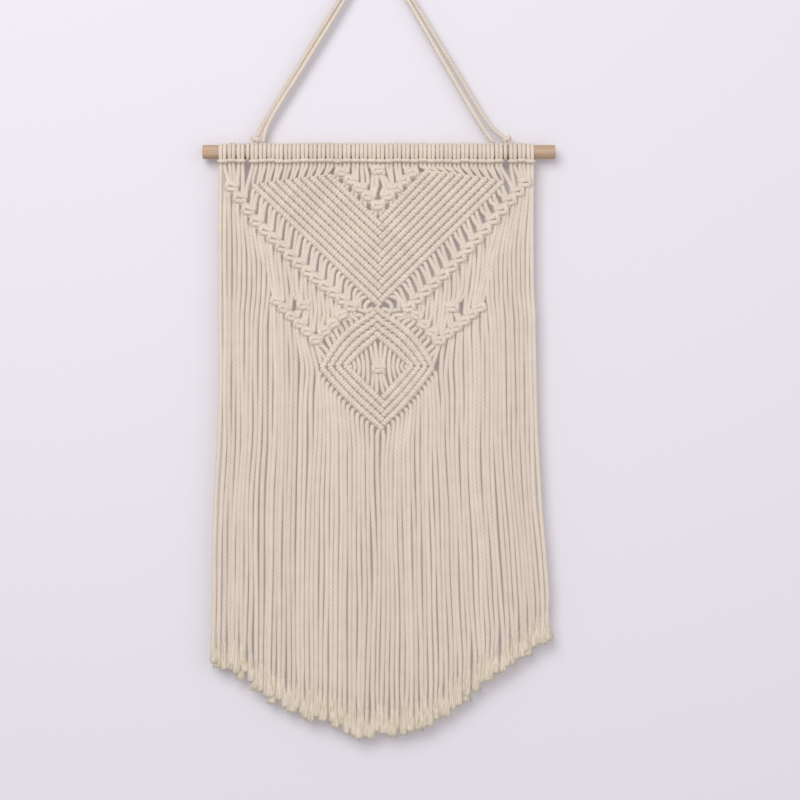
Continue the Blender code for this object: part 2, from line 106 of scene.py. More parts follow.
def sanded_beech():
    """Sanded, unvarnished beech: dull pale tan with fine streaks and short dark flecks."""
    material, tree = new_material("sanded beech")
    where = add_node(tree, "ShaderNodeTexCoord").outputs["Object"]
    along = add_node(tree, "ShaderNodeMapping", {"Vector": where, "Scale": (14, 700, 700)})
    streaks = add_node(
        tree,
        "ShaderNodeTexNoise",
        {"Vector": along.outputs[0], "Scale": 1.0, "Detail": 4.0, "Roughness": 0.6},
    ).outputs["Fac"]
    dashes = add_node(tree, "ShaderNodeMapping", {"Vector": where, "Scale": (240, 2600, 2600)})
    flecks = add_node(
        tree,
        "ShaderNodeTexNoise",
        {"Vector": dashes.outputs[0], "Scale": 1.0, "Detail": 1.0},
    ).outputs["Fac"]
    base = ramp(tree, streaks, (0.35, BEECH_DARK), (0.62, BEECH_LIGHT))
    pores = ramp(tree, flecks, (0.66, "#000000"), (0.74, "#BCBCBC"))
    colour = add_node(
        tree,
        "ShaderNodeMix",
        {"Factor": pores, "A": base, "B": linear(BEECH_PORE)},
        data_type="RGBA",
    ).outputs["Result"]
    rough = add_node(
        tree, "ShaderNodeBump", {"Height": streaks, "Strength": 0.25, "Distance": 0.0002}
    )
    shader = add_node(
        tree,
        "ShaderNodeBsdfPrincipled",
        {"Base Color": colour, "Normal": rough.outputs[0], "Roughness": 0.62, "IOR": 1.5},
    )
    add_node(tree, "ShaderNodeOutputMaterial", {"Surface": shader.outputs[0]})
    return material


def piece_from(name, bm, *materials):
    """Ends a bmesh as an object in the scene, with its place in its mesh."""
    mesh = bpy.data.meshes.new(name)
    bm.to_mesh(mesh)
    bm.free()
    for material in materials:
        mesh.materials.append(material)
    made = bpy.data.objects.new(name, mesh)
    bpy.context.scene.collection.objects.link(made)
    return made


def dowel():
    """The rod, turned along the panel, with its end edges eased."""
    bm = bmesh.new()
    bmesh.ops.create_cone(
        bm,
        cap_ends=True,
        segments=DOWEL_FACETS,
        radius1=DOWEL_RADIUS * MM,
        radius2=DOWEL_RADIUS * MM,
        depth=DOWEL_LENGTH * MM,
    )
    rims = [e for e in bm.edges if any(len(f.verts) > 4 for f in e.link_faces)]
    bmesh.ops.bevel(
        bm,
        geom=rims,
        offset=DOWEL_EASED_EDGE * MM,
        offset_type="OFFSET",
        segments=DOWEL_EASED_STEPS,
        profile=0.5,
        affect="EDGES",
        material=-1,
    )
    lying = Matrix.Rotation(math.pi / 2, 4, "Y")
    bm.transform(Matrix.Translation(place((DOWEL_SIDE, 0, 0))) @ lying)
    made = piece_from("beech_dowel", bm, sanded_beech())
    made.data.shade_smooth()
    made.data.set_sharp_from_angle(angle=math.radians(DOWEL_SHARP))
    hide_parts("dowel")
    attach(made, "root")


dowel()

# ---------------------------------------------------------------------------------------------
# The lark's heads. Thirty-six cords of soft cotton rope, each folded in half and hung over the
# rod: its two ends go up the rod's front, over it and down, and come out behind the fold, which
# shows as a bar. That makes the 72 strands that all the knots below are tied from.

PANEL_DEPTH = -5.0
CORD_RADIUS = 2.3
HEADINGS = (
    # name, where it starts, how many cords it has, and how far apart they hang
    ("left", -159.5, 3, 9.07),
    ("middle", -127.5, 30, 8.43),
    ("right", 130.9, 3, 8.73),
)
PLIES = 3
LAY = 13.0
COTTON = "#E9DBCD"
# the colour of the painted shade in the grooves between the rope's plies
PLY_GROOVE_PAINTED_SHADE = "#DCCBBA"
LARKS_HEAD = (
    # side, drop, depth, radius: from the middle of the bar, round the rod and down behind the bar
    (0.0, 9.6, -9.6, 1.9),
    (2.4, 9.6, -9.4, 1.9),
    (3.9, 9.4, -7.4, 1.6),
    (4.1, 8.8, -4.0, 1.4),
    (3.5, 8.0, 0.8, 1.4),
    (2.6, 6.0, 5.6, 1.7),
    (2.1, 0.0, 7.8, 2.0),
    (2.05, -5.5, 5.5, 2.05),
    (2.0, -7.6, 0.0, 2.05),
    (2.0, -5.4, -5.4, 2.05),
    (2.0, 0.0, -7.7, 2.05),
    (2.0, 4.8, -7.1, 2.0),
    (1.8, 8.2, -6.2, 1.75),
    (1.75, 11.8, -5.4, 1.85),
    (1.95, 15.6, -5.2, 2.05),
)
SHARED_BAR = 4
HEAD_STRAY = 0.2
HEAD_SLACK = (-0.5, 0.7)
SHORTEST_GAP = 0.05
TURN_BETWEEN_RINGS = 0.55
RINGS_APART = 9.0
ROPE_SHARP = 70
JOINED_WITHIN = 1e-7

random.seed(36)


class Strand:
    """One hanging half of a cord: the spots that it passes, each with the cord's radius there."""

    def __init__(self):
        self.spots = []
        self.drawn = 0
        self.length = 0.0
        self.tone = random.uniform(-1, 1)

    def lead(self, spot, radius=CORD_RADIUS):
        """Takes the strand on to the next spot."""
        self.spots.append((Vector(spot), radius))

    def end(self):
        """Where the strand has got to."""
        return self.spots[-1][0]


def stray(by):
    """A random shift of up to that much either way."""
    return random.uniform(-by, by)


def sampled(spots, first, last):
    """A smooth line through the spots, with rings close together where it turns."""
    line = []
    for i in range(first, last):
        (p1, r1), (p2, r2) = spots[i], spots[i + 1]
        p0 = spots[i - 1][0] if i > 0 else p1 * 2 - p2
        p3 = spots[i + 2][0] if i + 2 < len(spots) else p2 * 2 - p1
        a, b, c = (max(v.length, SHORTEST_GAP) ** 0.5 for v in (p1 - p0, p2 - p1, p3 - p2))
        start = ((p1 - p0) / a - (p2 - p0) / (a + b) + (p2 - p1) / b) * b
        stop = ((p2 - p1) / b - (p3 - p1) / (b + c) + (p3 - p2) / c) * b
        turn = start.angle(stop, 0.0) + start.angle(p2 - p1, 0.0)
        for_turn = math.ceil(turn / TURN_BETWEEN_RINGS)
        steps = max(1, for_turn, math.ceil((p2 - p1).length / RINGS_APART))
        for k in range(steps + (i == last - 1)):
            t = k / steps
            h1, h2 = 2 * t**3 - 3 * t**2 + 1, t**3 - 2 * t**2 + t
            h3, h4 = 3 * t**2 - 2 * t**3, t**3 - t**2
            line.append((p1 * h1 + start * h2 + p2 * h3 + stop * h4, r1 + (r2 - r1) * t))
    return line


def tube(line, along=0.0, tone=0.0, roundness=2):
    """A round cord along a line, as a mesh. Its UV map holds millimetres along and turns around."""
    curve = bpy.data.curves.new("tube", "CURVE")
    curve.dimensions = "3D"
    curve.bevel_depth = MM
    curve.bevel_resolution = roundness
    curve.use_fill_caps = True
    spline = curve.splines.new("POLY")
    spline.points.add(len(line) - 1)
    spline.points.foreach_set("co", [v for spot, _ in line for v in (*place(spot), 1.0)])
    spline.points.foreach_set("radius", [radius for _, radius in line])
    holder = bpy.data.objects.new("tube", curve)
    bpy.context.scene.collection.objects.link(holder)
    graph = bpy.context.evaluated_depsgraph_get()
    mesh = bpy.data.meshes.new_from_object(holder.evaluated_get(graph), depsgraph=graph)
    bpy.data.objects.remove(holder)
    bpy.data.curves.remove(curve)
    steps = [0.0, *[(line[i + 1][0] - line[i][0]).length for i in range(len(line) - 1)]]
    run = np.cumsum(steps) + along
    uv = np.zeros(len(mesh.loops) * 2)
    layer = mesh.uv_layers[0].data
    layer.foreach_get("uv", uv)
    uv[0::2] = np.interp(uv[0::2] * (len(line) - 1), range(len(line)), run)
    layer.foreach_set("uv", uv)
    shade = mesh.attributes.new("tone", "FLOAT", "POINT")
    shade.data.foreach_set("value", [tone] * len(mesh.vertices))
    return mesh, run[-1]


def cotton_rope():
    """Soft three-ply cotton: matt, warm white, with the plies' slanting lines, bumped and with
    painted shade in the grooves between plies, and a light fuzz.
    """
    material, tree = new_material("three-ply cotton rope")
    uv = add_node(tree, "ShaderNodeUVMap", uv_map="UVMap")
    run = add_node(tree, "ShaderNodeSeparateXYZ", {"Vector": uv.outputs[0]})
    turns = add_node(
        tree, "ShaderNodeMath", {0: run.outputs["X"], 1: PLIES / LAY}, operation="MULTIPLY"
    )
    round_it = add_node(
        tree, "ShaderNodeMath", {0: run.outputs["Y"], 1: PLIES}, operation="MULTIPLY"
    )
    slant = add_node(
        tree, "ShaderNodeMath", {0: turns.outputs[0], 1: round_it.outputs[0]}, operation="ADD"
    )
    half_turn = add_node(
        tree, "ShaderNodeMath", {0: slant.outputs[0], 1: math.pi}, operation="MULTIPLY"
    )
    wave = add_node(tree, "ShaderNodeMath", {0: half_turn.outputs[0]}, operation="SINE")
    ply = add_node(tree, "ShaderNodeMath", {0: wave.outputs[0]}, operation="ABSOLUTE")
    where = add_node(tree, "ShaderNodeTexCoord").outputs["Object"]
    fuzz = add_node(
        tree,
        "ShaderNodeTexNoise",
        {"Vector": where, "Scale": 1400.0, "Detail": 3.0, "Roughness": 0.65},
    )
    mottle = add_node(tree, "ShaderNodeTexNoise", {"Vector": where, "Scale": 90.0, "Detail": 2.0})
    tone = add_node(tree, "ShaderNodeAttribute", attribute_name="tone")
    # the grooves between the plies get a darker colour: painted shade, on top of their bump below
    depth = ramp(tree, ply.outputs[0], (0.0, PLY_GROOVE_PAINTED_SHADE), (0.45, COTTON))
    level = add_node(
        tree,
        "ShaderNodeMapRange",
        {"Value": tone.outputs["Fac"], "From Min": -1.0, "To Min": 0.95, "To Max": 1.03},
    )
    cloud = add_node(
        tree,
        "ShaderNodeMapRange",
        {
            "Value": mottle.outputs["Fac"],
            "From Min": 0.3,
            "From Max": 0.7,
            "To Min": 0.96,
            "To Max": 1.02,
        },
    )
    both = add_node(
        tree, "ShaderNodeMath", {0: level.outputs[0], 1: cloud.outputs[0]}, operation="MULTIPLY"
    )
    colour = add_node(
        tree, "ShaderNodeVectorMath", {0: depth, "Scale": both.outputs[0]}, operation="SCALE"
    )
    plies = add_node(
        tree, "ShaderNodeBump", {"Height": ply.outputs[0], "Strength": 0.35, "Distance": 0.0005}
    )
    fibres = add_node(
        tree,
        "ShaderNodeBump",
        {
            "Height": fuzz.outputs["Fac"],
            "Strength": 0.35,
            "Distance": 0.0002,
            "Normal": plies.outputs[0],
        },
    )
    shader = add_node(
        tree,
        "ShaderNodeBsdfPrincipled",
        {
            "Base Color": colour.outputs[0],
            "Normal": fibres.outputs[0],
            "Roughness": 0.92,
            "IOR": 1.4,
            "Sheen Weight": 0.25,
            "Sheen Roughness": 0.5,
        },
    )
    add_node(tree, "ShaderNodeOutputMaterial", {"Surface": shader.outputs[0]})
    return material


rope = cotton_rope()


def knotted_piece(name, strands, nodes, held_back=2):
    """One mesh of what the strands have been led through since they were last drawn.

    The last spots are held back for the next piece, because how they turn depends on it.
    """
    bm = bmesh.new()
    for strand in strands:
        last = len(strand.spots) - 1 - held_back
        if last <= strand.drawn:
            continue
        line = sampled(strand.spots, strand.drawn, last)
        mesh, strand.length = tube(line, strand.length, strand.tone)
        bm.from_mesh(mesh)
        bpy.data.meshes.remove(mesh)
        strand.drawn = last
    bmesh.ops.remove_doubles(bm, verts=bm.verts, dist=JOINED_WITHIN)
    made = piece_from(name, bm, rope)
    made.data.shade_smooth()
    made.data.set_sharp_from_angle(angle=math.radians(ROPE_SHARP))
    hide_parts(*nodes)
    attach(made, "root")
    return made


def larks_head(middle):
    """Folds one cord over the rod and gives its two hanging ends, left and right."""
    left, right = Strand(), Strand()
    left.tone = right.tone
    head = Vector((middle + stray(HEAD_STRAY), random.uniform(*HEAD_SLACK), stray(HEAD_STRAY)))
    for side, drop, depth, radius in reversed(LARKS_HEAD[1 : SHARED_BAR + 1]):
        left.lead(head + Vector((side, drop, depth)), radius)
    for side, drop, depth, radius in LARKS_HEAD:
        left.lead(head + Vector((-side, drop, depth)), radius)
    for side, drop, depth, radius in LARKS_HEAD[SHARED_BAR:]:
        right.lead(head + Vector((side, drop, depth)), radius)
    return [left, right]


strands = []
for name, start, count, pitch in HEADINGS:
    heading = [s for i in range(count) for s in larks_head(start + pitch * (i + 0.5))]
    knotted_piece(f"larks_heads_{name}", heading, [f"heading_{name}"])
    strands += heading

# ---------------------------------------------------------------------------------------------
# The small V in the middle. The twenty strands of the ten middle cords are tied in square knots
# of four: one high up between the two arms, and then down each arm to one knot at the point,
# each knot taking two strands from the last one and two new ones.

KNOT_RADIUS = 2.45
KNOT_WIDER = 1.06
KNOT_LONGER = 1.32
KNOT_TILT = 0.3
KNOT_STRAY = 0.3
KNOT_TILT_STRAY = 0.06
SMALL_V_STRANDS = 10
SMALL_V_ARM_KNOTS = 4
SMALL_V_TOP = (1.0, 18.8)
SMALL_V_POINT = (0.8, 54.3)
SMALL_V_ARMS = {
    # the first and the last knot of each arm, as side and drop
    -1: ((-35.5, 21.4), (-8.8, 45.2)),
    1: ((34.5, 21.9), (10.2, 45.2)),
}
SMALL_V_OPENING = {
    # the three innermost strands of each half, halfway down
    -1: ((-9.2, 31.0, -4.6), (-5.0, 33.0, -5.4), (-0.6, 34.0, -6.0)),
    1: ((14.2, 31.0, -4.4), (10.8, 33.0, -5.0), (7.2, 35.0, -5.8)),
}
FRONT_CORD = (
    # side, drop, depth: this cord crosses in front of the two middle ones, and back again
    (-4.4, -3.6, 0.2),
    (-2.8, -2.0, -2.1),
    (0.0, -1.6, -2.8),
    (2.8, -1.4, -2.4),
    (4.7, 0.0, -0.6),
    (2.8, 1.4, -2.4),
    (0.0, 1.6, -2.8),
    (-2.8, 2.0, -2.1),
    (-4.4, 3.6, 0.2),
)
BACK_CORD = (
    # the cord that crosses behind them, to the left and back, over the front one's turns
    (4.2, -3.8, -0.6),
    (4.9, -1.9, -2.1),
    (3.4, -0.4, 0.6),
    (1.8, -0.6, 2.6),
    (0.0, -1.0, 2.9),
    (-1.8, -1.4, 2.6),
    (-3.6, -1.8, 0.4),
    (-4.9, -1.7, -1.9),
    (-4.5, 0.0, -3.1),
    (-4.9, 1.7, -1.9),
    (-3.4, 2.3, 0.6),
    (-1.8, 2.4, 2.6),
    (0.0, 2.1, 2.9),
    (1.8, 1.8, 2.6),
    (3.4, 1.5, 0.4),
    (4.9, 1.9, -1.5),
    (4.4, 3.8, -0.3),
)
MIDDLE_CORD_SIDE = 1.7
MIDDLE_CORD_DROP = 3.3


def square_knot(four, spot, tilt=0.0, hand=1, longer=KNOT_LONGER):
    """Ties the outer two of four strands round the inner two.

    The four are counted from the left, or from the right for the mirrored knot, hand -1.
    """
    side, drop = spot
    middle = Vector((side + stray(KNOT_STRAY), drop + stray(KNOT_STRAY), PANEL_DEPTH))
    tilt += stray(KNOT_TILT_STRAY)
    across = Vector((math.cos(tilt), math.sin(tilt), 0)) * hand * KNOT_WIDER
    down = Vector((-math.sin(tilt), math.cos(tilt), 0)) * longer
    for strand, route in ((four[0], FRONT_CORD), (four[3], BACK_CORD)):
        for a, d, depth in route:
            strand.lead(middle + across * a + down * d + Vector((0, 0, depth)), KNOT_RADIUS)
    for strand, a in ((four[1], -MIDDLE_CORD_SIDE), (four[2], MIDDLE_CORD_SIDE)):
        for d in (-MIDDLE_CORD_DROP, 0.0, MIDDLE_CORD_DROP):
            strand.lead(middle + across * a + down * d, KNOT_RADIUS)


def between(start, end, share):
    """The spot at that share of the way from start to end."""
    return tuple(a + (b - a) * share for a, b in zip(start, end))


def middle_four(sides):
    """The two innermost strands of each side, from left to right."""
    return sides[-1][-2:] + sides[1][-2:][::-1]


# the strands of the left half, -1, and of the right half, 1, both from the outside in
half_count = len(strands) // 2
halves = {-1: strands[:half_count], 1: strands[half_count:][::-1]}

square_knot(middle_four(halves), SMALL_V_TOP)
for side, arm in SMALL_V_ARMS.items():
    inner = halves[side][-SMALL_V_STRANDS:]
    opening = SMALL_V_OPENING[side]
    for strand, spot in zip(inner[-len(opening) :], opening):
        strand.lead(spot)
    for i in range(SMALL_V_ARM_KNOTS):
        spot = between(*arm, i / (SMALL_V_ARM_KNOTS - 1))
        square_knot(inner[2 * i : 2 * i + 4], spot, -side * KNOT_TILT, -side)
square_knot(middle_four(halves), SMALL_V_POINT)

inner = halves[-1][-SMALL_V_STRANDS:] + halves[1][-SMALL_V_STRANDS:]
knotted_piece("small_v_knots", inner, ["centre_net"], held_back=1)

# ---------------------------------------------------------------------------------------------
# The chevron. Ten sloping rows of double half hitches on each side, tied one below the other. A
# row's leader comes from the next lark's head out, and every strand that it meets is wound twice
# round it. At the middle the two leaders cross, and each goes on as a strand of the other side.

SIDES = ((-1, "left"), (1, "right"))
ROWS = 10
LAST_LEADER = 7
CENTRE_SIDE = 0.5
LAST_ROW_DROP = 152.1
ROW_PITCH = 8.95
HITCH_WIDTH = 4.15
ROW_SLOPES = {-1: (0.96, 0.95), 1: (1.04, 0.98)}
CROSSING_SIDE = 2.4
ROW_REACH = 8.0
LEADER_RADIUS = 1.25
LEADER_PAST = 0.3
HITCH_RADIUS = 1.85
HITCH_SWELL = 0.55
HITCH_REACH = 1.45
HITCH_DEPTH = 1.7
HITCH_TUCK = 0.9
HITCH_LOOSE = (0.97, 1.04)
HITCH_SHIFTS = (-0.02, -0.14, -0.25, -0.25, -0.22, 0.0, 0.22, 0.25, 0.25, 0.14, 0.02)


def hitch(worker, middle, along, up, reach=HITCH_REACH):
    """A double half hitch: behind the leader, twice round it, and out between its own two turns."""
    loose = random.uniform(*HITCH_LOOSE)
    steps = 2 * len(HITCH_SHIFTS) - 1
    for step in range(steps):
        quarter, rest = divmod(step, 2)
        shift = HITCH_SHIFTS[quarter]
        if rest:
            shift = (shift + HITCH_SHIFTS[quarter + 1]) / 2
        angle = step * math.pi / 4
        spot = middle + along * shift + up * (math.cos(angle) * reach * loose)
        tucked = HITCH_TUCK if step in (0, steps - 1) else 0.0
        depth = math.sin(angle) * HITCH_DEPTH * loose + tucked
        front = max(0.0, -math.sin(angle))
        worker.lead(spot + Vector((0, 0, depth)), HITCH_RADIUS + HITCH_SWELL * front)


def swell(i, count):
    """How much a row's hitch of that number shares in what grows towards the row's middle."""
    return math.sin(math.pi * (i + 0.5) / count)


def tie_row(leader, workers, start, end, reach=HITCH_REACH, bulge=0.0, plump=0.0):
    """A row of hitches on one leader, which may bulge and grow plumper halfway along."""
    start, end = Vector((*start, PANEL_DEPTH)), Vector((*end, PANEL_DEPTH))
    along = (end - start) / len(workers)
    up = Vector((along.y, -along.x, 0)).normalized()
    if up.y > 0:
        up = -up
    leader.lead(start - along * LEADER_PAST, LEADER_RADIUS)
    for i, worker in enumerate(workers):
        share = swell(i, len(workers))
        middle = start + along * (i + 0.5) + up * (bulge * share)
        hitch(worker, middle, along, up, reach + plump * share)
        leader.lead(middle, LEADER_RADIUS)
    return along, up


def cross_leaders(under, over, spot, along, up):
    """Where two leaders meet, the second is hitched onto the first."""
    middle = Vector((*spot, PANEL_DEPTH))
    under.lead(middle - along * LEADER_PAST, HITCH_RADIUS)
    under.lead(middle + along * LEADER_PAST, HITCH_RADIUS)
    hitch(over, middle, along, up)


def chevron_row(row):
    """Ties one row on each side, crosses its leaders and swaps them."""
    head = LAST_LEADER + 2 * (ROWS - row)
    apex = (CENTRE_SIDE, LAST_ROW_DROP - ROW_PITCH * (ROWS - row))
    ways = {}
    for side, (first, last) in ROW_SLOPES.items():
        leader, workers = halves[side][head], halves[side][head + 1 :]
        slope = first + (last - first) * (row - 1) / (ROWS - 1)
        reach = ROW_REACH + HITCH_WIDTH * len(workers)
        start = (apex[0] + side * reach, apex[1] - slope * reach)
        end = (apex[0] + side * CROSSING_SIDE, apex[1] - slope * CROSSING_SIDE)
        ways[side] = tie_row(leader, workers, start, end)
    cross_leaders(halves[-1][head], halves[1][head], apex, *ways[-1])
    leaders = {side: halves[side].pop(head) for side in (-1, 1)}
    for side in (-1, 1):
        halves[side].append(leaders[-side])


for row in range(1, ROWS + 1):
    chevron_row(row)

for side, name in SIDES:
    knotted_piece(f"chevron_rows_{name}", halves[side][LAST_LEADER:], ["chevron"], held_back=1)

# ---------------------------------------------------------------------------------------------
# The outer braids. Fifteen square knots step down beside each half of the chevron. Each takes
# two strands from the knot above it and two that drop from the chevron's edge, and lets its two
# outer strands go. The outermost strand hangs free.

BRAID_KNOTS = 15
BRAID_STRANDS = 2 * BRAID_KNOTS + 3
BRAID_KNOT_LONGER = 1.55
BRAID_SAG = {-1: 3.5, 1: 3.8}
BRAID_BEND = 3
FLATTER_KNOTS = 2
FLATTER_TILT = 0.15
HOOKS_WIDEN = 3.2
HOOKS_WIDEN_OVER = 16
HOOKS_WAVER = 0.4
HOOKS_PAST_BRAID = {
    # the hook's number, and how much further out it leans on each side to pass the last knot
    26: {-1: 3.2, 1: 5.6},
    27: {-1: 0.8, 1: 1.4},
}
PAST_BRAID_DROP = 5.5
PAST_BRAID_RADIUS = 2.5
HOOK = (
    # side, the share of the lean that is added to it, drop, depth, radius
    (1.7, 0.6, 1.5, -1.2, 2.15),
    (2.8, 1.0, 5.0, -1.2, CORD_RADIUS),
)
BRAIDS = {
    # the first knot, the one where the braid bends, and the last, as side and drop
    -1: ((-145.8, 35.8), (-120.5, 70.8), (-26.5, 155.5)),
    1: ((147.5, 31.7), (124.0, 59.2), (31.0, 156.1)),
}
BRAID_EDGES = {-1: -157.5, 1: 154.5}


def braid_knot(side, count):
    """The middle of the braid's knot of that number, counted from 0, as side and drop."""
    first, bend, last = BRAIDS[side]
    if count < BRAID_BEND:
        return between(first, bend, count / BRAID_BEND)
    share = (count - BRAID_BEND) / (BRAID_KNOTS - 1 - BRAID_BEND)
    across, drop = between(bend, last, share)
    return across, drop + BRAID_SAG[side] * math.sin(math.pi * share)


def hook(strand, side, lean):
    """Leads a strand out of a hitch and over into a straight drop."""
    start = strand.end()
    for out, share, drop, depth, radius in HOOK:
        strand.lead(start + Vector((side * (out + share * lean), drop, depth)), radius)


for side, name in SIDES:
    half = halves[side]
    hooked = half[LAST_LEADER:-1]
    for i, strand in enumerate(hooked):
        lean = HOOKS_WIDEN * max(0.0, 1 - (len(hooked) - 0.5 - i) / HOOKS_WIDEN_OVER)
        lean += HOOKS_WAVER if i % 2 else -HOOKS_WAVER
        past = HOOKS_PAST_BRAID.get(i)
        hook(strand, side, lean + (past[side] if past else 0.0))
        if past:
            strand.lead(strand.end() + Vector((0, PAST_BRAID_DROP, 0)), PAST_BRAID_RADIUS)
    for count in range(BRAID_KNOTS):
        four = half[2 * count + 1 : 2 * count + 5]
        tilt = FLATTER_TILT if count < FLATTER_KNOTS else KNOT_TILT
        square_knot(four, braid_knot(side, count), -side * tilt, -side, BRAID_KNOT_LONGER)
    knotted_piece(
        f"outer_braid_cords_{name}",
        half[:BRAID_STRANDS],
        [f"outer_braid_{name}", f"link_net_{name}"],
        held_back=1,
    )

# ---------------------------------------------------------------------------------------------
# The wings. Under each outer braid, twenty strands are gathered again in two short braids of
# square knots that meet in a valley, and a single knot sits above the longer one.

WINGS = {
    # the tip, the valley and the single knot, as side and drop
    -1: ((-100.5, 149.8), (-61.5, 188.4), (-74.2, 154.2)),
    1: ((102.0, 157.0), (61.4, 189.4), (74.4, 156.6)),
}
WING_OUTER_KNOTS = 5
WING_INNER_KNOTS = 3
WING_TIP_STRAND = 11
VALLEY_STRAND = WING_TIP_STRAND + 2 * WING_OUTER_KNOTS
SINGLE_KNOT_STRAND = 17
BESIDE_SINGLE_KNOT = 1.8
TIP_KNOT_HALF = 8.2
FREE_SPOTS = (0.45, 0.8)
FREE_STRAY = 0.3
FREE_DEPTH_STRAY = 0.5
PAIR_SIDE = 3.2
PAIR_HALF = 2.3
WEB_SPOT = 0.5
WEB_DEPTH = -0.3


def hang_beside(side):
    """Lets the strands outside the wing's tip hang side by side, as far as its first knot."""
    tip, _, _ = WINGS[side]
    near = tip[0] + side * TIP_KNOT_HALF
    for i, strand in enumerate(halves[side][:WING_TIP_STRAND]):
        start = strand.end()
        hang = near + (BRAID_EDGES[side] - near) * (1 - i / (WING_TIP_STRAND - 1))
        for share in FREE_SPOTS:
            across = hang + stray(FREE_STRAY)
            drop = start.y + (tip[1] - start.y) * share
            strand.lead((across, drop, PANEL_DEPTH + stray(FREE_DEPTH_STRAY)))


def hang_web(side):
    """Lets the wing's strands hang from the braid, in the pairs that its knots let go."""
    half = halves[side]
    tip, valley, _ = WINGS[side]
    for i in range(WING_TIP_STRAND, VALLEY_STRAND + 2 * WING_INNER_KNOTS):
        start = half[i].end()
        pair = braid_knot(side, (i - 1) // 2)[0] + side * PAIR_SIDE
        hang = pair + side * (PAIR_HALF if i % 2 else -PAIR_HALF)
        if SINGLE_KNOT_STRAND - 2 <= i < SINGLE_KNOT_STRAND:
            hang -= side * BESIDE_SINGLE_KNOT * (i - SINGLE_KNOT_STRAND + 3) / 2
        share = min(1.0, (i - WING_TIP_STRAND) / (2 * WING_OUTER_KNOTS))
        below = tip[1] + (valley[1] - tip[1]) * share
        half[i].lead((hang, start.y + (below - start.y) * WEB_SPOT, PANEL_DEPTH + WEB_DEPTH))


def wing(side):
    """Ties the single knot, both arms of the wing and the knot in its valley."""
    tip, valley, single = WINGS[side]
    last = braid_knot(side, BRAID_KNOTS - 1)
    tied = [(SINGLE_KNOT_STRAND, single, 0.0)]
    for i in range(WING_OUTER_KNOTS):
        spot = between(tip, valley, i / WING_OUTER_KNOTS)
        tied.append((WING_TIP_STRAND + 2 * i, spot, KNOT_TILT))
    inner = WING_INNER_KNOTS + 1
    for i in range(1, inner):
        spot = between(last, valley, i / inner)
        tied.append((VALLEY_STRAND + 2 * (inner - i), spot, -KNOT_TILT))
    tied.append((VALLEY_STRAND, valley, 0.0))
    for first, spot, tilt in tied:
        square_knot(halves[side][first : first + 4], spot, -side * tilt, -side)


for side, name in SIDES:
    hang_beside(side)
    hang_web(side)
    wing(side)
    knotted_piece(
        f"wing_cords_{name}",
        halves[side][:BRAID_STRANDS],
        [f"wing_{name}", f"web_{name}", f"accent_knot_{name}"],
        held_back=1,
    )

# ---------------------------------------------------------------------------------------------
# The diamond. Four rows of double half hitches run out from its top corner and back to its
# bottom one, each on one leader that turns at the side corner. Inside, the strands hang free,
# and the middle four are tied in one square knot.

DIAMOND_ROWS = 4
DIAMOND_REACH = 1.15
DIAMOND_HITCH = 5.9
DIAMOND_BULGE = (6.2, 4.6, 2.9, 0.9)
LOWER_BULGE = 0.35
DIAMOND_PLUMP = 0.5
DIAMOND_OUTER = {
    # the corners of its outer edge, as side and drop
    "top": (0.3, 154.2),
    "bottom": (3.0, 280.0),
    -1: (-59.3, 217.0),
    1: (58.6, 215.6),
}
DIAMOND_INNER = {
    # the corners of its opening
    "top": (0.3, 187.6),
    "bottom": (3.0, 244.6),
    -1: (-28.6, 213.4),
    1: (31.0, 214.6),
}
DIAMOND_KNOT = (0.9, 217.6)
FIRST_DIAMOND_STRAND = 22
ARRIVAL = 3.0
ARRIVAL_DEPTH = 0.4
ARRIVAL_RADIUS = 2.4
PAIR_SPREAD = 1.3
PAIR_DRAWN_IN = 0.4
PAIR_DROP = 2.0
PAIR_STAGGER = 0.8
FLOAT_PITCH = 4.25
FLOAT_DRAWN_IN = 0.3
FLOAT_LAYER = 0.4
FLOAT_BACK = 0.3
FLOAT_RADIUS = 2.2
ABOVE_KNOT = 15.0
BESIDE_KNOT = 2.0
DIAMOND_HOOK = 1.4
NARROWED_HOOKS = 5
POINT_APART = 3.1
POINT_BELOW = 4.0


def corner(row, which):
    """The middle of a row's corner, between the diamond's outer edge and its opening."""
    return between(DIAMOND_OUTER[which], DIAMOND_INNER[which], (row + 0.5) / DIAMOND_ROWS)


def arrive(side, workers):
    """Leads one side's strands from above to the diamond's first row, in pairs at first."""
    for i, strand in enumerate(reversed(workers)):
        apart = PAIR_SPREAD if i % 2 else -PAIR_SPREAD
        out, down = apart - PAIR_DRAWN_IN, PAIR_DROP + apart * PAIR_STAGGER
        strand.lead(strand.end() + Vector((side * out, down, 0)), ARRIVAL_RADIUS)
        across, drop = between(corner(0, "top"), corner(0, side), (i + 0.5) / len(workers))
        beyond = ARRIVAL + DIAMOND_BULGE[0] * math.sqrt(0.5) * swell(i, len(workers))
        spot = (across + side * beyond, drop - beyond, PANEL_DEPTH + ARRIVAL_DEPTH)
        strand.lead(spot, ARRIVAL_RADIUS)


def cross_in_corner(row, which, pair, under):
    """Crosses a row's two leaders in its top or bottom corner, with that side's underneath."""
    here = Vector((*corner(row, which), PANEL_DEPTH))
    there = Vector((*corner(row, under), PANEL_DEPTH))
    along = (there - here).normalized() * DIAMOND_HITCH * under
    up = Vector((along.y, -along.x, 0)).normalized()
    cross_leaders(pair[under], pair[-under], here[:2], along, up)


def diamond_row(row, pair, workers, upper):
    """One row a side, from the top corner to the side ones or from those to the bottom one."""
    for side in (-1, 1):
        first = corner(row, "top" if upper else side)
        last = corner(row, side if upper else "bottom")
        gap = CROSSING_SIDE / abs(last[0] - first[0])
        begin = between(first, last, gap if upper else 0.0)
        stop = between(first, last, 1.0 if upper else 1 - gap)
        bulge = DIAMOND_BULGE[row] * (1.0 if upper else -LOWER_BULGE)
        tie_row(pair[side], workers[side], begin, stop, DIAMOND_REACH, bulge, DIAMOND_PLUMP)


